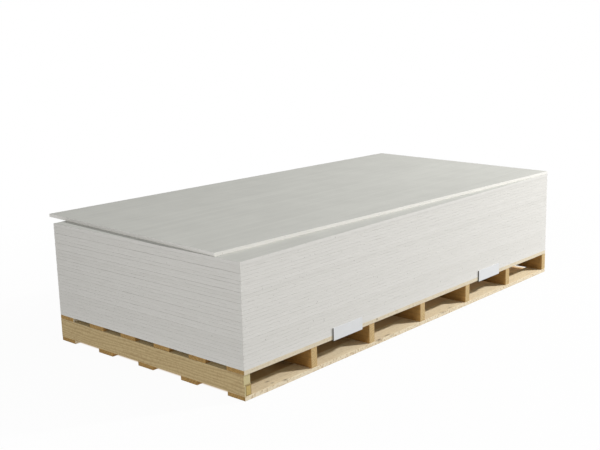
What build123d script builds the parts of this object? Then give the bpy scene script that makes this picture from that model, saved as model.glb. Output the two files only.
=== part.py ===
from build123d import *
from math import cos, radians, sin
import os

# Fire-resistant boards stacked on a stringer pallet, the top board swung askew.
# The origin is the middle of the pallet's footprint, on the floor.
# X runs along the boards, Y across them, Z up. The front long side is at -Y, the near end at -X.

# Boards
board_length = 2438.4
board_width = 1219.2
board_thickness = 15.0
board_arris = 0.8  # flat along each edge where the saw's burr was rubbed off
stack_count = 29
board_gap = 0.2  # air between two faces, which are never quite flat
stack_drift = 0.6  # how far out of line the highest board of the stack lies
drift_turn = 137.5  # degrees between the directions in which one board and the next have slid
top_swing = 3.4  # degrees, clockwise from above, about the far front corner

# Pallet timbers, sawn and nailed, as long and as wide as the boards they carry
stringer_count = 7
stringer_width = 38.0
stringer_height = 89.0
deck_count = 6
deck_width = 100.0
deck_thickness = 19.0
bottom_count = 5
bottom_width = 100.0
bottom_thickness = 19.0
timber_arris = 1.0
saw_step = 5.0  # the upper half of the first stringer's front end is cut back by this much

# Edge protectors, angles that wrap the lower front edge of the load
protector_length = 200.0
protector_thickness = 5.0
protector_rise = 58.0  # outside height of the standing leg
protector_tuck = 50.0  # outside depth of the leg under the deck
protector_clearance = 0.3
protector_bays = {"near": 2, "far": 5}  # counted from the near end
protector_slip = {"near": 24.0, "far": 0.0}  # how far each one lies from the middle of its bay

# Levels and spacings that follow from the sizes above
pallet_length = board_length
pallet_width = board_width
stringer_base = bottom_thickness
deck_base = stringer_base + stringer_height
stack_base = deck_base + deck_thickness
board_pitch = board_thickness + board_gap
top_board_base = stack_base + stack_count * board_pitch
stringer_pitch = (pallet_length - stringer_width) / (stringer_count - 1)
first_stringer = (stringer_width - pallet_length) / 2

os.makedirs("parts", exist_ok=True)


def save(piece, name):
    """Labels one finished piece and writes it under its own name."""
    piece.part.label = name
    export_step(piece.part, f"parts/{name}.step")


def board(name, corner_plane):
    """One sheet: a plate with square corners and the arrises of both faces eased.

    The plane's origin is the sheet's far front corner, and its X runs along the sheet.
    """
    with BuildPart() as sheet:
        with BuildSketch(corner_plane):
            Rectangle(board_length, board_width, align=(Align.MAX, Align.MIN))
        extrude(amount=board_thickness)
        chamfer(sheet.edges().filter_by(Axis.Z, reverse=True), board_arris)
    save(sheet, name)


def row(count, overall, width):
    """Centres of timbers spread evenly, the outer two flush with the overall size."""
    pitch = (overall - width) / (count - 1)
    return [(width - overall) / 2 + i * pitch for i in range(count)]


def plank(name, y, base, width, thickness):
    """One plank along the pallet, its four long arrises eased."""
    with BuildPart() as timber:
        with BuildSketch(Plane.YZ.offset(-pallet_length / 2)):
            with Locations((y, base)):
                Rectangle(width, thickness, align=(Align.CENTER, Align.MIN))
        extrude(amount=pallet_length)
        chamfer(timber.edges().filter_by(Axis.X), timber_arris)
    save(timber, name)


def stringer(name, x, front_step):
    """One timber on edge across the pallet, its front end cut back above mid-height by the step."""
    with BuildPart() as timber:
        with BuildSketch(Plane.XZ.offset(-pallet_width / 2)):
            with Locations((x, stringer_base)):
                Rectangle(stringer_width, stringer_height, align=(Align.CENTER, Align.MIN))
        extrude(amount=pallet_width)
        chamfer(timber.edges().filter_by(Axis.Y), timber_arris)
        if front_step:
            with Locations((x, -pallet_width / 2, stringer_base + stringer_height / 2)):
                Box(
                    stringer_width,
                    front_step,
                    stringer_height / 2,
                    align=(Align.CENTER, Align.MIN, Align.MIN),
                    mode=Mode.SUBTRACT,
                )
    save(timber, name)


def edge_protector(name, x):
    """One angle: its tuck lies under the first deck board, its rise stands against deck and boards."""
    outer_y = -pallet_width / 2 - protector_clearance - protector_thickness
    outer_z = deck_base - protector_clearance - protector_thickness
    with BuildPart() as angle:
        with BuildSketch(Plane.YZ.offset(x - protector_length / 2)):
            with BuildLine():
                Polyline(
                    (outer_y, outer_z),
                    (outer_y + protector_tuck, outer_z),
                    (outer_y + protector_tuck, outer_z + protector_thickness),
                    (outer_y + protector_thickness, outer_z + protector_thickness),
                    (outer_y + protector_thickness, outer_z + protector_rise),
                    (outer_y, outer_z + protector_rise),
                    close=True,
                )
            make_face()
        extrude(amount=protector_length)
        fold = angle.edges().filter_by(Axis.X).sort_by_distance((x, outer_y, outer_z))[0]
        fillet(fold, protector_thickness / 2)
    save(angle, name)


# Pallet, from the floor up
for i, y in enumerate(row(bottom_count, pallet_width, bottom_width), start=1):
    plank(f"bottom_board_{i}", y, 0.0, bottom_width, bottom_thickness)

for i, x in enumerate(row(stringer_count, pallet_length, stringer_width), start=1):
    stringer(f"stringer_{i}", x, saw_step if i == 1 else 0.0)

for i, y in enumerate(row(deck_count, pallet_width, deck_width), start=1):
    plank(f"deck_board_{i}", y, deck_base, deck_width, deck_thickness)

# Edge protectors, each in its bay between two stringers
for end, bay in protector_bays.items():
    bay_middle = first_stringer + (bay - 0.5) * stringer_pitch
    edge_protector(f"edge_protector_{end}", bay_middle + protector_slip[end])

# The stack, whose boards slide a little further out of line the higher they lie
for i in range(stack_count):
    drift = stack_drift * i / (stack_count - 1)
    direction = radians(drift_turn * i)
    corner = (
        board_length / 2 + drift * cos(direction),
        -board_width / 2 + drift * sin(direction),
        stack_base + i * board_pitch,
    )
    board(f"board_{i + 1:02d}", Plane(origin=corner, z_dir=(0, 0, 1)))

# The top board, turned about the corner where it still lies flush with the stack
swing = radians(-top_swing)
board(
    "top_board",
    Plane(
        origin=(board_length / 2, -board_width / 2, top_board_base),
        x_dir=(cos(swing), sin(swing), 0),
        z_dir=(0, 0, 1),
    ),
)
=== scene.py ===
"""Looks of a pallet of fire-resistant boards.

Pressed white mineral sheets with sawn edges lie on a rough-sawn softwood pallet, the top one swung askew.
"""
from math import cos, pi, radians, sin

import bpy
import numpy as np
from mathutils import Matrix, Vector


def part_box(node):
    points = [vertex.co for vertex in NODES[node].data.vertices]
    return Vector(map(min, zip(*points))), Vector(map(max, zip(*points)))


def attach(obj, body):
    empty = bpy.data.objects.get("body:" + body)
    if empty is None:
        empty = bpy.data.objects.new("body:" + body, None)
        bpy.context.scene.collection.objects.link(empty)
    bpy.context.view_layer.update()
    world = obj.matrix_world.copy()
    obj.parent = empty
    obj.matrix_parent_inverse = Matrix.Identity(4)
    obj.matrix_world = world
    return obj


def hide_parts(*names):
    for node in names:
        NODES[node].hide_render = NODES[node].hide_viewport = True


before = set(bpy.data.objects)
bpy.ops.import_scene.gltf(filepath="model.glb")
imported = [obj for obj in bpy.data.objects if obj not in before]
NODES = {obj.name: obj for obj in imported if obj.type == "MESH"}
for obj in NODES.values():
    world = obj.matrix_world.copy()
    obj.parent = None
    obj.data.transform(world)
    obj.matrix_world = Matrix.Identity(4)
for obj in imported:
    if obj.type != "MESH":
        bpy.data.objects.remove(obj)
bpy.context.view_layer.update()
MM = 0.001

# Camera, fitted to the photo's straight edges
FRAME_WIDTH = 600
FOCAL_PIXELS = 988.3
SENSOR_MM = 36.0
CAMERA_PLACE = Vector((-3.7855, -3.2296, 1.5090))
CAMERA_AZIMUTH = -48.06
CAMERA_ELEVATION = 12.35
CAMERA_ROLL = 1.48

# Light: a key lamp from the right front, a weak lamp off the near end, an even room, and a white floor that
# throws light back up
KEY_PLACE = Vector((5.60, -4.60, 4.90))
KEY_SIZE = 0.55
KEY_WATTS = 690.0
SIDE_PLACE = Vector((-4.60, -1.00, 1.50))
SIDE_SIZE = 0.40
SIDE_WATTS = 34.0
LAMP_AIM = Vector((0.0, 0.0, 0.30))
ROOM_STRENGTH = 0.22
FLOOR_GLOW = 0.69

# Floor, in metres: the part that is left in the pallet's shade, and how white the camera sees the rest
FLOOR_SIZE = 9.0
SHADE_ENDS = (-1.176, 1.219)
SHADE_SIDE = 0.580
SHADE_EDGE = 0.02
WHITE_NEAR = 0.96
WHITE_MORE = 0.04
WHITE_REACH = 2.5

# The camera alone sees painted light on the floor of the bays: a warm glow, growing along X and fading
# inwards along Y
BAY_PAINTED_LIGHT = 0.12
BAY_RUN = (-0.72, 1.22)
BAY_DEPTH = (-0.46, -0.20)
BAY_DIM = 0.2

# Boards: steps along the outline, worn arrises, chips and crushed corners
STACK_COUNT = 29
EDGE_STEP = 8 * MM
RIM = 4 * MM
ARRIS_WEAR = (0.30 * MM, 1.30 * MM)
ARRIS_RUN = 0.060
ARRIS_ROUND = 0.3
EDGE_WANDER = 0.3 * MM
EDGE_RUN = 0.45
CHIPS_PER_ARRIS = 14
CHIP_DEPTH = (0.6 * MM, 2.2 * MM)
CORNER_CRUSH = 1.6 * MM

# Pallet timbers: steps along and across, plain and where marks need a finer grid, the points over an arris,
# and two points close together at the middle of a side, which keep the notch's step sharp
STEPS = (12 * MM, 9 * MM)
FINE_STEPS = (5 * MM, 4 * MM)
CORNER_POINTS = 4
MIDDLE_PAIR = (0.49, 0.51)

# Pallet timbers: wear, in metres. A mark is at full depth over the inner part of its reach, which grows with
# its core, and a point within the skin of a face counts as on it
TIMBER_ARRIS = (0.6 * MM, 2.4 * MM)
TIMBER_ARRIS_RUN = 0.16
SAW_RIPPLE = 0.5 * MM
RIPPLE_RUNS = (0.09, 0.6)
END_ARRIS = 0.8 * MM
END_WANDER = 1.5 * MM
BITE = 2.5 * MM
STAIN_CORE = 1.4
NOTCH_BLEND = 20 * MM
FACE_SKIN = 1 * MM

# Pallet timbers: where each lay in its tree, as ranges of pith distance, lean and start along the log
PITH_LEAST = (0.01, 0.02)
PITH_MOST = (0.06, 0.09)
LEAN = 0.02
LOG_LENGTH = 10
TIMBER_SEED = 1000
TONE_SEED = 7

# Pattern sizes of the mineral boards, in metres; a pair is along the pattern and across it
FACE_CLOUD = 0.160
FACE_STREAK = (0.9, 0.02)
FACE_GRIT = 0.0025
FACE_RELIEF = 0.4 * MM
CUT_STREAK = (0.060, 0.003)
CUT_PIT = 0.011
CUT_GRIT = 0.0015
CUT_RELIEF = 0.5 * MM

# Pattern sizes of the softwood
RING_PITCH = 0.011
RING_BEND = 0.035
BEND_RUN = (0.45, 0.05)
FIBRE = (0.09, 0.0016)
FIBRE_RELIEF = 0.6 * MM
FLECK = 0.010
RAGGED = (0.016, 0.004)
END_FIBRE = 0.006
END_RELIEF = 0.8 * MM

# The first stringer's end: its golden block as shares of the end's width and height, and its painted shade
# line
BLOCK_MIDDLE = (0.57, 0.25)
BLOCK_HALF = (0.37, 0.24)
BLOCK_SHADE_LINE = 4 * MM

LINER_CLOUD = 0.03
COMMON_IOR = 1.5


# Small tools

def linear(hex_code):
    """Linear RGBA of an sRGB hex colour, by the sRGB transfer curve."""
    parts = [int(hex_code[i:i + 2], 16) / 255 for i in (1, 3, 5)]
    curve = [c / 12.92 if c <= 0.04045 else ((c + 0.055) / 1.055) ** 2.4 for c in parts]
    return (*curve, 1.0)


def wander(rng, along, spacing):
    """Smooth random line from 0 to 1: random knots a spacing apart, eased each to the next by a cosine."""
    place = along / spacing
    left = np.floor(place).astype(int)
    knots = rng.random(left.max() + 2)
    ease = (1 - np.cos(pi * (place - left))) / 2
    return knots[left] * (1 - ease) + knots[left + 1] * ease


def make_piece(name, points, faces, finish, finishes, attributes):
    """One object at the origin from points and faces; finish gives each face's place in finishes."""
    mesh = bpy.data.meshes.new(name)
    mesh.from_pydata(points.tolist(), [], faces)
    for material in finishes:
        mesh.materials.append(material)
    mesh.polygons.foreach_set("material_index", np.asarray(finish, dtype=np.int32))
    for key, values in attributes.items():
        kind = "FLOAT_VECTOR" if values.ndim == 2 else "FLOAT"
        layer = mesh.attributes.new(key, kind, "POINT")
        layer.data.foreach_set("vector" if values.ndim == 2 else "value", values.astype(np.float32).ravel())
    mesh.update()
    piece = bpy.data.objects.new(name, mesh)
    bpy.context.scene.collection.objects.link(piece)
    return piece


def stand_in(piece, node):
    """Shows a detailed piece in the place of its CAD node, which it hides, and puts it on the root body."""
    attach(piece, "root")
    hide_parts(node)


# Materials

# Sockets of the mix node for colours: its share, its two colours and its result
MIX_SHARE, MIX_A, MIX_B, MIX_COLOUR = 0, 6, 7, 2


def add(tree, kind, sockets=None, **settings):
    """Adds one node: settings are its own properties, sockets holds values or outputs to link, by input."""
    made = tree.nodes.new(kind)
    for name, value in settings.items():
        setattr(made, name, value)
    for key, value in (sockets or {}).items():
        if isinstance(value, bpy.types.NodeSocket):
            tree.links.new(value, made.inputs[key])
        else:
            made.inputs[key].default_value = value
    return made


def new_material(name, roughness):
    """A material's output and Principled shader, linked, with the common IOR of mineral, wood and paper."""
    material = bpy.data.materials.new(name)
    material.use_nodes = True
    tree = material.node_tree
    tree.nodes.clear()
    shader = add(tree, "ShaderNodeBsdfPrincipled", {"Roughness": roughness, "IOR": COMMON_IOR})
    add(tree, "ShaderNodeOutputMaterial", {"Surface": shader.outputs[0]})
    return material, tree, shader


def board_face():
    """Pressed mineral board face: a matt skin off a smooth press plate, faintly clouded and streaked."""
    material, tree, shader = new_material("pressed_mineral_board_face", 0.85)
    place = add(tree, "ShaderNodeTexCoord").outputs["Object"]
    cloud = add(tree, "ShaderNodeTexNoise", {"Vector": place, "Scale": 1 / FACE_CLOUD, "Detail": 4.0})
    stretch = (1 / FACE_STREAK[0], 1 / FACE_STREAK[1], 1.0)
    long_way = add(tree, "ShaderNodeMapping", {"Vector": place, "Scale": stretch})
    streak = add(tree, "ShaderNodeTexNoise", {"Vector": long_way.outputs[0], "Scale": 1.0, "Detail": 3.0})
    blend = add(tree, "ShaderNodeMath", {0: cloud.outputs["Fac"], 1: streak.outputs["Fac"]}, operation="ADD")
    level = add(tree, "ShaderNodeMapRange", {"Value": blend.outputs[0], "From Min": 0.7, "From Max": 1.3})
    colour = add(tree, "ShaderNodeMix", {MIX_SHARE: level.outputs[0], MIX_A: linear("#D0D0C9"),
                                         MIX_B: linear("#D9D9D2")}, data_type="RGBA")
    tree.links.new(colour.outputs[MIX_COLOUR], shader.inputs["Base Color"])
    grit = add(tree, "ShaderNodeTexNoise", {"Vector": place, "Scale": 1 / FACE_GRIT, "Detail": 3.0})
    bump = add(tree, "ShaderNodeBump", {"Height": grit.outputs["Fac"], "Strength": 0.15,
                                        "Distance": FACE_RELIEF})
    tree.links.new(bump.outputs[0], shader.inputs["Normal"])
    return material


def board_edge(name, dull, bright):
    """Sawn mineral board edge: chalky and open, with faint streaks along the cut and small dark pits."""
    material, tree, shader = new_material(name, 0.9)
    place = add(tree, "ShaderNodeTexCoord").outputs["Object"]
    tone = add(tree, "ShaderNodeAttribute", attribute_name="tone")
    stretch = (1 / CUT_STREAK[0], 1 / CUT_STREAK[0], 1 / CUT_STREAK[1])
    flat_way = add(tree, "ShaderNodeMapping", {"Vector": place, "Scale": stretch})
    streak = add(tree, "ShaderNodeTexNoise", {"Vector": flat_way.outputs[0], "Scale": 1.0, "Detail": 3.0})
    mixed = add(tree, "ShaderNodeMath", {0: tone.outputs["Fac"], 1: 0.25, 2: streak.outputs["Fac"]},
                operation="MULTIPLY_ADD")
    level = add(tree, "ShaderNodeMapRange", {"Value": mixed.outputs[0], "From Min": 0.30, "From Max": 0.95})
    colour = add(tree, "ShaderNodeMix", {MIX_SHARE: level.outputs[0], MIX_A: linear(dull),
                                         MIX_B: linear(bright)}, data_type="RGBA")
    pits = add(tree, "ShaderNodeTexNoise", {"Vector": place, "Scale": 1 / CUT_PIT, "Detail": 2.0})
    pit = add(tree, "ShaderNodeMapRange", {"Value": pits.outputs["Fac"], "From Min": 0.70, "From Max": 0.78,
                                           "To Max": 0.55})
    marked = add(tree, "ShaderNodeMix", {MIX_SHARE: pit.outputs[0], MIX_A: colour.outputs[MIX_COLOUR],
                                         MIX_B: linear("#8C8880")}, data_type="RGBA")
    tree.links.new(marked.outputs[MIX_COLOUR], shader.inputs["Base Color"])
    grit = add(tree, "ShaderNodeTexNoise", {"Vector": place, "Scale": 1 / CUT_GRIT, "Detail": 2.0})
    bump = add(tree, "ShaderNodeBump", {"Height": grit.outputs["Fac"], "Strength": 0.3,
                                        "Distance": CUT_RELIEF})
    tree.links.new(bump.outputs[0], shader.inputs["Normal"])
    return material


def softwood(name, pale, straw, late, rings, flecks, roughness):
    """Rough-sawn softwood: bands of growth rings under drawn-out fibres, torn flecks and dark marks.

    The log attribute places each point in its tree, in metres from the pith. A ring is a band of that
    distance, bent along the trunk. The tone attribute goes from pale to straw, and where it is 0, on the
    faces drawn paler as painted light, the flecks are weaker. The bark attribute darkens knots and bruises,
    broken up by noise so that their rims are ragged. The rings are drawn about three times as wide as real
    ones, so that they show.
    """
    material, tree, shader = new_material(name, roughness)
    log = add(tree, "ShaderNodeAttribute", attribute_name="log").outputs["Vector"]
    tone = add(tree, "ShaderNodeAttribute", attribute_name="tone").outputs["Fac"]
    bark = add(tree, "ShaderNodeAttribute", attribute_name="bark").outputs["Fac"]

    across = add(tree, "ShaderNodeVectorMath", {0: log, 1: (0.0, 1.0, 1.0)}, operation="MULTIPLY")
    reach = add(tree, "ShaderNodeVectorMath", {0: across.outputs[0]}, operation="LENGTH")
    stretch = (1 / BEND_RUN[0], 1 / BEND_RUN[1], 1 / BEND_RUN[1])
    bend_way = add(tree, "ShaderNodeMapping", {"Vector": log, "Scale": stretch})
    bend = add(tree, "ShaderNodeTexNoise", {"Vector": bend_way.outputs[0], "Scale": 1.0, "Detail": 2.0})
    bent = add(tree, "ShaderNodeMath", {0: bend.outputs["Fac"], 1: RING_BEND, 2: reach.outputs["Value"]},
               operation="MULTIPLY_ADD")
    ring = add(tree, "ShaderNodeMath", {0: bent.outputs[0], 1: 1 / RING_PITCH}, operation="MULTIPLY")
    ring = add(tree, "ShaderNodeMath", {0: ring.outputs[0]}, operation="FRACT")
    late_wood = add(tree, "ShaderNodeMapRange", {"Value": ring.outputs[0], "From Min": 0.35,
                                                 "From Max": 0.95}, interpolation_type="SMOOTHSTEP")
    depth = add(tree, "ShaderNodeMath", {0: late_wood.outputs[0], 1: rings}, operation="MULTIPLY")
    body = add(tree, "ShaderNodeMix", {MIX_SHARE: tone, MIX_A: linear(pale), MIX_B: linear(straw)},
               data_type="RGBA")
    ringed = add(tree, "ShaderNodeMix", {MIX_SHARE: depth.outputs[0], MIX_A: body.outputs[MIX_COLOUR],
                                         MIX_B: linear(late)}, data_type="RGBA")

    stretch = (1 / FIBRE[0], 1 / FIBRE[1], 1 / FIBRE[1])
    fibre_way = add(tree, "ShaderNodeMapping", {"Vector": log, "Scale": stretch})
    fibre = add(tree, "ShaderNodeTexNoise", {"Vector": fibre_way.outputs[0], "Scale": 1.0, "Detail": 3.0})
    fibre_dark = add(tree, "ShaderNodeMapRange", {"Value": fibre.outputs["Fac"], "From Min": 0.45,
                                                  "From Max": 0.75, "To Max": 0.30})
    fibred = add(tree, "ShaderNodeMix", {MIX_SHARE: fibre_dark.outputs[0], MIX_A: ringed.outputs[MIX_COLOUR],
                                         MIX_B: linear(late)}, data_type="RGBA")

    fleck = add(tree, "ShaderNodeTexNoise", {"Vector": log, "Scale": 1 / FLECK, "Detail": 2.0})
    torn = add(tree, "ShaderNodeMapRange", {"Value": tone, "From Max": 0.1, "To Min": 0.35 * flecks,
                                            "To Max": flecks})
    fleck_dark = add(tree, "ShaderNodeMapRange", {"Value": fleck.outputs["Fac"], "From Min": 0.48,
                                                  "From Max": 0.68, "To Max": torn.outputs[0]})
    flecked = add(tree, "ShaderNodeMix", {MIX_SHARE: fleck_dark.outputs[0], MIX_A: fibred.outputs[MIX_COLOUR],
                                          MIX_B: linear(late)}, data_type="RGBA")

    stretch = (1 / RAGGED[0], 1 / RAGGED[1], 1 / RAGGED[1])
    ragged_way = add(tree, "ShaderNodeMapping", {"Vector": log, "Scale": stretch})
    ragged = add(tree, "ShaderNodeTexNoise", {"Vector": ragged_way.outputs[0], "Scale": 1.0, "Detail": 2.0})
    ragged = add(tree, "ShaderNodeMapRange", {"Value": ragged.outputs["Fac"], "From Min": 0.3,
                                              "From Max": 0.7, "To Min": 0.25})
    ragged = add(tree, "ShaderNodeMath", {0: bark, 1: ragged.outputs[0]}, operation="MULTIPLY")
    stained = add(tree, "ShaderNodeMix", {MIX_SHARE: ragged.outputs[0], MIX_A: flecked.outputs[MIX_COLOUR],
                                          MIX_B: linear("#5A431C")}, data_type="RGBA")
    tree.links.new(stained.outputs[MIX_COLOUR], shader.inputs["Base Color"])
    bump = add(tree, "ShaderNodeBump", {"Height": fibre.outputs["Fac"], "Strength": 0.35,
                                        "Distance": FIBRE_RELIEF})
    tree.links.new(bump.outputs[0], shader.inputs["Normal"])
    return material


def two_tone_end(low, high):
    """Sawn softwood end in two tones: pale, with a golden block of end grain low down in a dark painted shade
    line.

    The block is a rectangle in X and Z. A point's gap is the larger of its distances outside the rectangle
    in X and in Z, below 0 inside it, and the painted shade line lies where the gap is near 0.
    """
    material, tree, shader = new_material("two_tone_softwood_end_grain", 0.8)
    place = add(tree, "ShaderNodeTexCoord").outputs["Object"]
    width, height = high[0] - low[0], high[2] - low[2]
    middle = (low[0] + BLOCK_MIDDLE[0] * width, 0.0, low[2] + BLOCK_MIDDLE[1] * height)
    block = (BLOCK_HALF[0] * width, 1.0, BLOCK_HALF[1] * height)
    gap = add(tree, "ShaderNodeVectorMath", {0: place, 1: middle}, operation="SUBTRACT")
    gap = add(tree, "ShaderNodeVectorMath", {0: gap.outputs[0]}, operation="ABSOLUTE")
    gap = add(tree, "ShaderNodeVectorMath", {0: gap.outputs[0], 1: block}, operation="SUBTRACT")
    parts = add(tree, "ShaderNodeSeparateXYZ", {0: gap.outputs[0]})
    gap = add(tree, "ShaderNodeMath", {0: parts.outputs["X"], 1: parts.outputs["Z"]}, operation="MAXIMUM")
    inside = add(tree, "ShaderNodeMath", {0: gap.outputs[0], 1: 0.0}, operation="LESS_THAN")
    fibre = add(tree, "ShaderNodeTexNoise", {"Vector": place, "Scale": 1 / END_FIBRE, "Detail": 3.0})
    outer = add(tree, "ShaderNodeMix", {MIX_SHARE: fibre.outputs["Fac"], MIX_A: linear("#DACDA2"),
                                        MIX_B: linear("#BDAE7A")}, data_type="RGBA")
    inner = add(tree, "ShaderNodeMix", {MIX_SHARE: fibre.outputs["Fac"], MIX_A: linear("#D2B978"),
                                        MIX_B: linear("#B09550")}, data_type="RGBA")
    wood = add(tree, "ShaderNodeMix", {MIX_SHARE: inside.outputs[0], MIX_A: outer.outputs[MIX_COLOUR],
                                       MIX_B: inner.outputs[MIX_COLOUR]}, data_type="RGBA")
    # Painted shade: a dark line round the golden block
    near = add(tree, "ShaderNodeMath", {0: gap.outputs[0]}, operation="ABSOLUTE")
    painted_shade_line = add(tree, "ShaderNodeMapRange", {"Value": near.outputs[0], "From Max": BLOCK_SHADE_LINE, "To Min": 0.8,
                                            "To Max": 0.0})
    shade_lined = add(tree, "ShaderNodeMix", {MIX_SHARE: painted_shade_line.outputs[0], MIX_A: wood.outputs[MIX_COLOUR],
                                        MIX_B: linear("#6B4E24")}, data_type="RGBA")
    tree.links.new(shade_lined.outputs[MIX_COLOUR], shader.inputs["Base Color"])
    bump = add(tree, "ShaderNodeBump", {"Height": fibre.outputs["Fac"], "Strength": 0.4,
                                        "Distance": END_RELIEF})
    tree.links.new(bump.outputs[0], shader.inputs["Normal"])
    return material


def lined_paperboard():
    """White-lined solid paperboard: a clean matt liner outside, with grey-brown plies on cut ends, darkened
    as painted shade.
    """
    material, tree, shader = new_material("white_lined_paperboard", 0.7)
    coords = add(tree, "ShaderNodeTexCoord")
    parts = add(tree, "ShaderNodeSeparateXYZ", {0: coords.outputs["Normal"]})
    cut = add(tree, "ShaderNodeMath", {0: parts.outputs["X"]}, operation="ABSOLUTE")
    cut = add(tree, "ShaderNodeMath", {0: cut.outputs[0], 1: 0.7}, operation="GREATER_THAN")
    cloud = add(tree, "ShaderNodeTexNoise", {"Vector": coords.outputs["Object"], "Scale": 1 / LINER_CLOUD,
                                             "Detail": 3.0})
    liner = add(tree, "ShaderNodeMix", {MIX_SHARE: cloud.outputs["Fac"], MIX_A: linear("#DBDCDC"),
                                        MIX_B: linear("#E2E3E4")}, data_type="RGBA")
    # The cut ends' colour is partly the plies' own and partly painted shade, darker than plies alone
    colour = add(tree, "ShaderNodeMix", {MIX_SHARE: cut.outputs[0], MIX_A: liner.outputs[MIX_COLOUR],
                                         MIX_B: linear("#40392B")}, data_type="RGBA")
    tree.links.new(colour.outputs[MIX_COLOUR], shader.inputs["Base Color"])
    return material


# Boards

def outline(corners, step):
    """Points round a rectangle, stepped along each side, with the way in from the edge and the corners.

    On a side the way in is the side's own normal; at a corner it is the sum of both sides' normals.
    """
    runs = np.roll(corners, -1, axis=0) - corners
    lengths = np.linalg.norm(runs, axis=1)
    along = runs / lengths[:, None]
    normals = np.column_stack([-along[:, 1], along[:, 0]])
    points, ways, starts = [], [], []
    for k in range(4):
        count = round(lengths[k] / step)
        points.append(corners[k] + np.linspace(0, 1, count, endpoint=False)[:, None] * runs[k])
        start = np.arange(count) == 0
        ways.append(normals[k] + start[:, None] * normals[k - 1])
        starts.append(start)
    return np.concatenate(points), np.concatenate(ways), np.concatenate(starts)


def sheet_corners(node):
    """The four corners of a sheet's outline, counter-clockwise from the near front one, and its two levels.

    Each corner is the point that lies farthest in a direction between its two sides' own.
    """
    vertices = NODES[node].data.vertices
    points = np.empty(3 * len(vertices), dtype=np.float32)
    vertices.foreach_get("co", points)
    points = points.reshape(-1, 3).astype(float)
    ways = np.array([(-1, -0.6), (1, -1.2), (1, 0.6), (-1, 1.2)])
    farthest = np.argmax(points[:, :2] @ ways.T, axis=0)
    return points[farthest, :2], points[:, 2].min(), points[:, 2].max()


def worn_arris(rng, along, at_corner):
    """How far an arris is worn back along the outline: a wandering line, deeper at chips and corners."""
    wear = ARRIS_WEAR[0] + (ARRIS_WEAR[1] - ARRIS_WEAR[0]) * wander(rng, along, ARRIS_RUN) ** 2
    chips = rng.integers(0, len(along), CHIPS_PER_ARRIS)
    np.add.at(wear, chips, rng.uniform(*CHIP_DEPTH, CHIPS_PER_ARRIS))
    wear[at_corner] += CORNER_CRUSH * rng.random()
    return wear


def sheet(node, number, finishes):
    """One sheet: an edge profile carried round its outline, closed by two flat faces.

    From the top face the profile goes over the arris, down the sawn edge and under the lower arris. The
    arris wear wanders along the outline, chips deepen it here and there, and the edge itself wanders inwards.
    """
    rng = np.random.default_rng(number)
    corners, low, high = sheet_corners(node)
    points, ways, at_corner = outline(corners, EDGE_STEP)
    count = len(points)
    along = np.arange(count) * EDGE_STEP
    top = worn_arris(rng, along, at_corner)
    bottom = worn_arris(rng, along, at_corner)
    edge = EDGE_WANDER * wander(rng, along, EDGE_RUN)
    level = np.zeros(count)
    profile = [(edge + RIM, high + level), (edge + top, high + level),
               (edge + ARRIS_ROUND * top, high - ARRIS_ROUND * top), (edge, high - top),
               (edge, low + bottom), (edge + ARRIS_ROUND * bottom, low + ARRIS_ROUND * bottom),
               (edge + bottom, low + level), (edge + RIM, low + level)]
    rows = [np.column_stack([points + ways * inset[:, None], height]) for inset, height in profile]
    ring = np.arange(count)
    after = np.roll(ring, -1)
    upper = np.arange(len(rows) - 1)[:, None] * count
    lower = upper + count
    quads = np.stack([lower + ring, lower + after, upper + after, upper + ring], axis=-1).reshape(-1, 4)
    last = (len(rows) - 1) * count
    faces = quads.tolist() + [ring.tolist(), (last + ring[::-1]).tolist()]
    on_edge = np.ones((len(rows) - 1, count), dtype=int)
    on_edge[[0, -1]] = 0
    finish = np.append(on_edge.ravel(), [0, 0])
    tone = np.full(count * len(rows), rng.random())
    return make_piece(f"sheet_{node}", np.concatenate(rows), faces, finish, finishes, {"tone": tone})


# Pallet timbers

def stain(points, marks):
    """How dark each point is: a mark's depth at its middle, fading to 0 at the rim of its ellipsoid."""
    dark = np.zeros(len(points))
    for middle, half_sizes, depth in marks:
        gap = np.linalg.norm((points - middle) / half_sizes, axis=1)
        dark = np.maximum(dark, depth * np.clip(STAIN_CORE * (1 - gap), 0, 1))
    return dark


def ladder(wide, tall):
    """Faces across a ring, as rungs from its left side to its right.

    The ring goes round from its lower left corner, with the given number of points between two corners on
    its lower and upper edges and on its sides. The outer two faces take in those edges.
    """
    corner = CORNER_POINTS
    lower = corner + np.arange(wide)
    right = corner + wide + np.arange(2 * corner + tall)
    upper = 3 * corner + wide + tall + np.arange(wide)
    left = np.append(3 * corner + 2 * wide + tall + np.arange(corner + tall), np.arange(corner))[::-1]
    first = [left[1], left[0], *lower, right[0], right[1]]
    rungs = np.column_stack([left[1:-2], right[1:-2], right[2:-1], left[2:-1]]).tolist()
    last = [left[-2], right[-2], right[-1], *upper, left[-1]]
    return [[int(i) for i in face] for face in (first, *rungs, last)]


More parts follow.
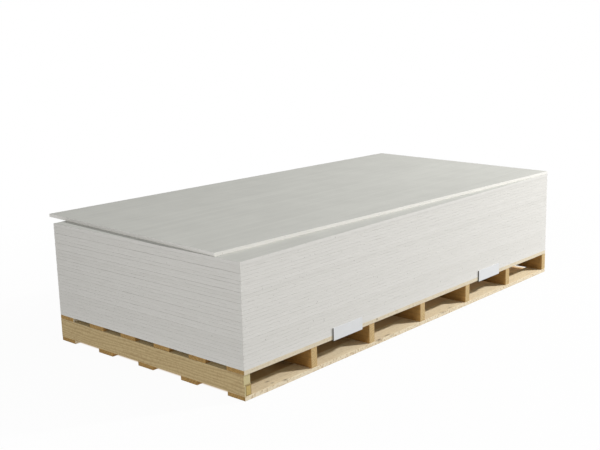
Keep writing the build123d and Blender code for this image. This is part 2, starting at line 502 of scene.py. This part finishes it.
def timber(node, length_axis, number, tone, finishes, steps, marks=(), notch=0.0, painted_light_side=0):
    """One timber: a rectangle with worn round arrises, carried along its length and closed by sawn ends.

    The four arris radii wander along the length, the sides ripple inwards as a saw leaves them, and a mark
    on an arris bites into it. A notch sets the upper half of the first end back by that much. As painted
    light, the upper face is drawn paler, and so is the side towards +1 or -1 across the length that the
    last argument names.
    """
    rng = np.random.default_rng(TIMBER_SEED + number)
    low, high = (np.array(corner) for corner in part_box(node))
    side_axis = 1 - length_axis
    size = high - low
    length, width, height = size[length_axis], size[side_axis], size[2]
    begin, end = END_WANDER * rng.random(2)
    inner = np.linspace(begin + END_ARRIS, length - end - END_ARRIS, round(length / steps[0]))
    stations = np.concatenate([[begin], inner, [length - end]])
    squeeze = np.zeros(len(stations))
    squeeze[[0, -1]] = END_ARRIS
    spread = TIMBER_ARRIS[1] - TIMBER_ARRIS[0]
    radii = np.column_stack([TIMBER_ARRIS[0] + spread * wander(rng, stations, TIMBER_ARRIS_RUN) ** 2
                             for _ in range(4)])
    half = np.array([width, height]) / 2
    signs = np.array([(-1, -1), (1, -1), (1, 1), (-1, 1)])
    for k in range(4):
        arris = np.zeros((len(stations), 3))
        arris[:, length_axis] = low[length_axis] + stations
        arris[:, side_axis] = low[side_axis] + half[0] * (1 + signs[k, 0])
        arris[:, 2] = low[2] + half[1] * (1 + signs[k, 1])
        radii[:, k] += BITE * stain(arris, marks)

    # The ring at every station: an arc over each arris, then points along the side after it
    ways = np.array([(1, 0), (0, 1), (-1, 0), (0, -1)])
    ring, between_counts = [], []
    for k in range(4):
        came, goes = ways[k - 1], ways[k]
        corner = signs[k] * half
        for turn in np.linspace(0, pi / 2, CORNER_POINTS):
            shift = (goes - came) - cos(turn) * goes + sin(turn) * came
            ring.append(corner + radii[:, k, None] * shift)
        after = signs[(k + 1) % 4] * half
        start = corner + radii[:, k, None] * goes
        stop = after - radii[:, (k + 1) % 4, None] * goes
        parts = 2 * max(1, round(np.linalg.norm(after - corner) / steps[1] / 2))
        between = np.arange(1, parts) / parts
        between = np.sort(np.append(between[between != 0.5], MIDDLE_PAIR))
        between_counts.append(len(between))
        for t in between:
            quick, slow = (wander(rng, stations, run) for run in RIPPLE_RUNS)
            ripple = SAW_RIPPLE * quick * slow
            ring.append(start + t * (stop - start) + ripple[:, None] * ways[(k + 1) % 4])
    ring = np.stack(ring, axis=1)
    ring *= (1 - squeeze[:, None, None] / half)
    count = ring.shape[1]

    along = np.repeat(stations[:, None], count, axis=1)
    set_back = notch * np.clip(1 - along / NOTCH_BLEND, 0, 1) * (ring[..., 1] > 0)
    points = np.zeros((len(stations), count, 3))
    points[..., length_axis] = low[length_axis] + along + set_back
    points[..., side_axis] = low[side_axis] + half[0] + ring[..., 0]
    points[..., 2] = low[2] + half[1] + ring[..., 1]

    # Sides between stations and a cap on each end; a length along X turns round the order of each face
    place = np.arange(count)
    after = np.roll(place, -1)
    here = np.arange(len(stations) - 1)[:, None] * count
    ahead = here + count
    sides = np.stack([ahead + place, ahead + after, here + after, here + place], axis=-1).reshape(-1, 4)
    begin_cap = ladder(between_counts[0], between_counts[1])
    end_cap = [[(len(stations) - 1) * count + i for i in face[::-1]] for face in begin_cap]
    faces = sides.tolist() + begin_cap + end_cap
    if length_axis == 0:
        faces = [face[::-1] for face in faces]
    finish = [0] * len(sides) + [1] * (2 * len(begin_cap))

    pith = rng.uniform(PITH_LEAST, PITH_MOST) * rng.choice([-1, 1], 2)
    lean = rng.uniform(-LEAN, LEAN, 2)
    drift = (stations / length - 0.5)[:, None] * lean
    log = np.zeros_like(points)
    log[..., 0] = stations[:, None] + LOG_LENGTH * rng.random()
    log[..., 1:] = ring + pith + drift[:, None, :]
    flat = points.reshape(-1, 3)
    # Painted light: the upper faces, and the named side, take tone 0, the paler wood
    painted_light_faces = (ring[..., 1] > half[1] - FACE_SKIN) | (painted_light_side * ring[..., 0] > half[0] - FACE_SKIN)
    tones = np.where(painted_light_faces, 0.0, tone)
    attributes = {"log": log.reshape(-1, 3), "tone": tones.ravel(), "bark": stain(flat, marks)}
    return make_piece(f"timber_{node}", flat, faces, finish, finishes, attributes)


# The load

# Faces as the press left them; stacked edges dulled by dust; the top sheet's edge whiter, partly still white
# from the saw and partly painted light
mineral_face = board_face()
mineral_edge = board_edge("sawn_mineral_board_edge", "#D9D7D1", "#E3E1DC")
fresh_and_painted_light_edge = board_edge("fresh_cut_and_painted_light_board_edge", "#EBE9E3", "#F5F3EE")
sheet_nodes = [f"board_{i:02d}" for i in range(1, STACK_COUNT + 1)] + ["top_board"]
for number, node in enumerate(sheet_nodes):
    edge_finish = fresh_and_painted_light_edge if node == "top_board" else mineral_edge
    stand_in(sheet(node, number, [mineral_face, edge_finish]), node)


# The pallet

# Sapwood planks on the floor, almost white, with rough specks where the saw tore
pale_wood = softwood("pale_sawn_softwood", "#F4E4C3", "#EADFC8", "#AD8A55", 0.10, 0.60, 0.75)
# Outer deck boards, bleached towards grey-cream by the light, with little grain left to see
bleached_wood = softwood("bleached_sawn_softwood", "#E4DBC6", "#DBCBA8", "#BBA276", 0.15, 0.35, 0.75)
# The near end's stringer, straw-coloured, with clear grain along its face
straw_wood = softwood("straw_sawn_softwood", "#D2BE91", "#C8B07E", "#8E6E40", 0.42, 0.30, 0.75)
# Inner timbers, which lie in the pallet's shade, drawn a darker warm brown as painted shade
shade_painted_wood = softwood("shade_painted_brown_softwood", "#C49A5A", "#B3894B", "#8C632E", 0.35, 0.30, 0.75)
# The far end's stringer, brown inside as painted shade, and paler on its outer face
far_wood = softwood("half_shade_painted_softwood", "#CEBA8D", "#B3894B", "#8C632E", 0.32, 0.25, 0.75)
# Plank ends, which soak up damp and turn darker and more orange than the sides
plank_end = softwood("soaked_softwood_end_grain", "#BC9656", "#AA8446", "#735528", 0.5, 0.40, 0.85)
# Stringer ends, drier and paler, with open rings
stringer_end = softwood("softwood_end_grain", "#D6BC8A", "#CDB07A", "#A58452", 0.5, 0.35, 0.8)
first_end = two_tone_end(*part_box("stringer_1"))
CORNER = np.array([*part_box("bottom_board_1")[0]])


def mark(x, y, z, radius, reach, depth=1.0):
    """A knot, nail or bruise, in mm from the pallet's near front corner; reach is along the pallet."""
    return CORNER + np.array([x, y, z]) * MM, np.array([reach, radius, radius]) * MM, depth


MARKS = {
    "bottom_board_1": [mark(872, 1, 19, 9, 30), mark(944, 8, 19, 8, 32), mark(968, 0, 12, 7, 20, 0.5),
                       mark(1395, 3, 18, 9, 34, 0.7), mark(1478, 14, 19, 9, 32, 0.5),
                       mark(174, 46, 19, 7, 17), mark(178, 19, 19, 6, 11, 0.8), mark(238, 3, 19, 7, 22)],
    "deck_board_1": [mark(857, 0, 121, 7, 9)],
    "stringer_1": [mark(0, 7, 78, 6, 6)],
}
NOTCHES = {"stringer_1": 5 * MM}
# The side of a timber drawn paler as painted light, +1 or -1 across its length
PAINTED_LIGHT_SIDES = {"stringer_7": 1}
# Side woods by timber; any other timber takes the brown of painted shade
SIDES = {"stringer_1": straw_wood, "stringer_7": far_wood, "deck_board_1": bleached_wood,
         "deck_board_6": bleached_wood, "bottom_board_1": pale_wood, "bottom_board_5": pale_wood}
ENDS = {"stringer_1": first_end}

# Each kind of timber: how many, its length's axis, the seed before its first, its tones and its end wood
TIMBERS = (
    ("stringer", 7, 1, 0, (0.3, 0.9), stringer_end),
    ("deck_board", 6, 0, 10, (0.1, 0.3), plank_end),
    ("bottom_board", 5, 0, 20, (0.3, 0.6), plank_end),
)
wood_tones = np.random.default_rng(TONE_SEED)
for kind, how_many, axis, seed, tone_range, end_wood in TIMBERS:
    for i in range(1, how_many + 1):
        node = f"{kind}_{i}"
        finishes = [SIDES.get(node, shade_painted_wood), ENDS.get(node, end_wood)]
        steps = FINE_STEPS if node in MARKS else STEPS
        drawn = wood_tones.uniform(*tone_range)
        # With a painted light side, the other faces take the full brown of painted shade
        tone = 1.0 if node in PAINTED_LIGHT_SIDES else drawn
        piece = timber(node, axis, seed + i, tone, finishes, steps,
                       MARKS.get(node, ()), NOTCHES.get(node, 0.0), PAINTED_LIGHT_SIDES.get(node, 0))
        stand_in(piece, node)


# Edge protectors, whose CAD shape is right

liner = lined_paperboard()
for end in ("near", "far"):
    mesh = NODES[f"edge_protector_{end}"].data
    mesh.materials.clear()
    mesh.materials.append(liner)


# Floor, light and camera

def seen_directly(tree):
    """1 for rays from the camera, gloss and glass, and 0 for light on its way to the object."""
    path = add(tree, "ShaderNodeLightPath").outputs
    camera, gloss, glass = path["Is Camera Ray"], path["Is Glossy Ray"], path["Is Transmission Ray"]
    seen = add(tree, "ShaderNodeMath", {0: camera, 1: gloss}, operation="MAXIMUM")
    seen = add(tree, "ShaderNodeMath", {0: seen.outputs[0], 1: glass}, operation="MAXIMUM")
    return seen.outputs[0]


def studio_floor():
    """Plain pale floor, seen as white away from the pallet, where it keeps a trace of the shadow.

    How far a point lies from the shaded rectangle under the pallet is the length of what its X and Y stand
    out beyond the rectangle's half-sizes. The share of white goes up over the rectangle's edge, and then
    slowly on. Inside the rectangle the floor is tinted tan as painted shade, and in the bays the camera alone
    sees a warm glow as painted light.
    """
    material, tree, shader = new_material("studio_floor", 0.9)
    place = add(tree, "ShaderNodeTexCoord").outputs["Object"]
    middle = (sum(SHADE_ENDS) / 2, 0.0, 0.0)
    half = ((SHADE_ENDS[1] - SHADE_ENDS[0]) / 2, SHADE_SIDE, 1.0)
    gap = add(tree, "ShaderNodeVectorMath", {0: place, 1: middle}, operation="SUBTRACT")
    gap = add(tree, "ShaderNodeVectorMath", {0: gap.outputs[0]}, operation="ABSOLUTE")
    gap = add(tree, "ShaderNodeVectorMath", {0: gap.outputs[0], 1: half}, operation="SUBTRACT")
    gap = add(tree, "ShaderNodeVectorMath", {0: gap.outputs[0], 1: (0.0, 0.0, 0.0)}, operation="MAXIMUM")
    away = add(tree, "ShaderNodeVectorMath", {0: gap.outputs[0]}, operation="LENGTH").outputs["Value"]
    outside = add(tree, "ShaderNodeMapRange", {"Value": away, "From Max": SHADE_EDGE})
    # Painted shade: under the pallet the floor is tinted tan, darker and warmer than the white around it
    colour = add(tree, "ShaderNodeMix", {MIX_SHARE: outside.outputs[0], MIX_A: linear("#E4C898"),
                                         MIX_B: linear("#E6E4E2")}, data_type="RGBA")
    tree.links.new(colour.outputs[MIX_COLOUR], shader.inputs["Base Color"])

    near_white = add(tree, "ShaderNodeMapRange", {"Value": away, "From Max": SHADE_EDGE,
                                                  "To Max": WHITE_NEAR})
    more_white = add(tree, "ShaderNodeMapRange", {"Value": away, "From Min": SHADE_EDGE,
                                                  "From Max": WHITE_REACH, "To Max": WHITE_MORE})
    white = add(tree, "ShaderNodeMath", {0: near_white.outputs[0], 1: more_white.outputs[0]}, operation="ADD")

    seen = seen_directly(tree)
    # Painted light: the camera alone sees a warm glow on the floor of the bays, growing along X
    spot = add(tree, "ShaderNodeSeparateXYZ", {0: place})
    run = add(tree, "ShaderNodeMapRange", {"Value": spot.outputs["X"], "From Min": BAY_RUN[0],
                                           "From Max": BAY_RUN[1], "To Max": BAY_PAINTED_LIGHT})
    depth = add(tree, "ShaderNodeMapRange", {"Value": spot.outputs["Y"], "From Min": BAY_DEPTH[0],
                                             "From Max": BAY_DEPTH[1], "To Min": 1.0, "To Max": BAY_DIM})
    painted_bay_light = add(tree, "ShaderNodeMath", {0: run.outputs[0], 1: depth.outputs[0]}, operation="MULTIPLY")
    painted_bay_light = add(tree, "ShaderNodeMath", {0: painted_bay_light.outputs[0], 1: seen}, operation="MULTIPLY")
    white = add(tree, "ShaderNodeMath", {0: white.outputs[0], 1: painted_bay_light.outputs[0]}, operation="MAXIMUM")

    # The glow is white away from the pallet and warm under it, where it is the painted light of the bays
    glow_and_painted_light_tint = add(tree, "ShaderNodeMix", {MIX_SHARE: outside.outputs[0], MIX_A: linear("#FFD098"),
                                       MIX_B: linear("#FFFFFF")}, data_type="RGBA")
    strength = add(tree, "ShaderNodeMapRange", {"Value": seen, "To Min": FLOOR_GLOW, "To Max": 1.0})
    glow = add(tree, "ShaderNodeEmission", {"Color": glow_and_painted_light_tint.outputs[MIX_COLOUR],
                                             "Strength": strength.outputs[0]})
    blend = add(tree, "ShaderNodeMixShader", {0: white.outputs[0], 1: shader.outputs[0], 2: glow.outputs[0]})
    tree.links.new(blend.outputs[0], tree.get_output_node("ALL").inputs["Surface"])
    return material


def lay_floor():
    """A flat square under the pallet."""
    corners = np.array([(-1, -1, 0), (1, -1, 0), (1, 1, 0), (-1, 1, 0)]) * FLOOR_SIZE
    floor = make_piece("floor", corners, [[0, 1, 2, 3]], [0], [studio_floor()], {})


def hang_lamp(name, place, size, watts):
    """A round area lamp that faces the load."""
    data = bpy.data.lights.new(name, "AREA")
    data.shape = "DISK"
    data.size = size
    data.energy = watts
    lamp = bpy.data.objects.new(name, data)
    lamp.location = place
    lamp.rotation_euler = (LAMP_AIM - place).to_track_quat("-Z", "Y").to_euler()
    bpy.context.scene.collection.objects.link(lamp)


def light_room():
    """An even pale room, which the camera sees as white."""
    world = bpy.data.worlds.new("room")
    world.use_nodes = True
    tree = world.node_tree
    tree.nodes.clear()
    strength = add(tree, "ShaderNodeMapRange", {"Value": seen_directly(tree), "To Min": ROOM_STRENGTH,
                                                "To Max": 1.0})
    sky = add(tree, "ShaderNodeBackground", {"Color": (1.0, 1.0, 1.0, 1.0), "Strength": strength.outputs[0]})
    add(tree, "ShaderNodeOutputWorld", {"Surface": sky.outputs[0]})
    bpy.context.scene.world = world


def aim_camera():
    """The photo's view.

    Azimuth turns from +Y about Z, elevation looks down, and roll turns about the line of sight.
    """
    turn, tilt, roll = (radians(v) for v in (CAMERA_AZIMUTH, CAMERA_ELEVATION, CAMERA_ROLL))
    ahead = Vector((-sin(turn) * cos(tilt), cos(turn) * cos(tilt), -sin(tilt)))
    right = Vector((cos(turn), sin(turn), 0.0))
    down = ahead.cross(right)
    rolled_right = cos(roll) * right + sin(roll) * down
    rolled_down = cos(roll) * down - sin(roll) * right
    data = bpy.data.cameras.new("camera")
    data.sensor_width = SENSOR_MM
    data.lens = FOCAL_PIXELS / FRAME_WIDTH * SENSOR_MM
    camera = bpy.data.objects.new("camera", data)
    facing = Matrix((rolled_right, -rolled_down, -ahead)).transposed().to_4x4()
    camera.matrix_world = Matrix.Translation(CAMERA_PLACE) @ facing
    bpy.context.scene.collection.objects.link(camera)
    bpy.context.scene.camera = camera


lay_floor()
hang_lamp("key_lamp", KEY_PLACE, KEY_SIZE, KEY_WATTS)
hang_lamp("side_lamp", SIDE_PLACE, SIDE_SIZE, SIDE_WATTS)
light_room()
aim_camera()
bpy.context.scene.view_settings.view_transform = "Standard"
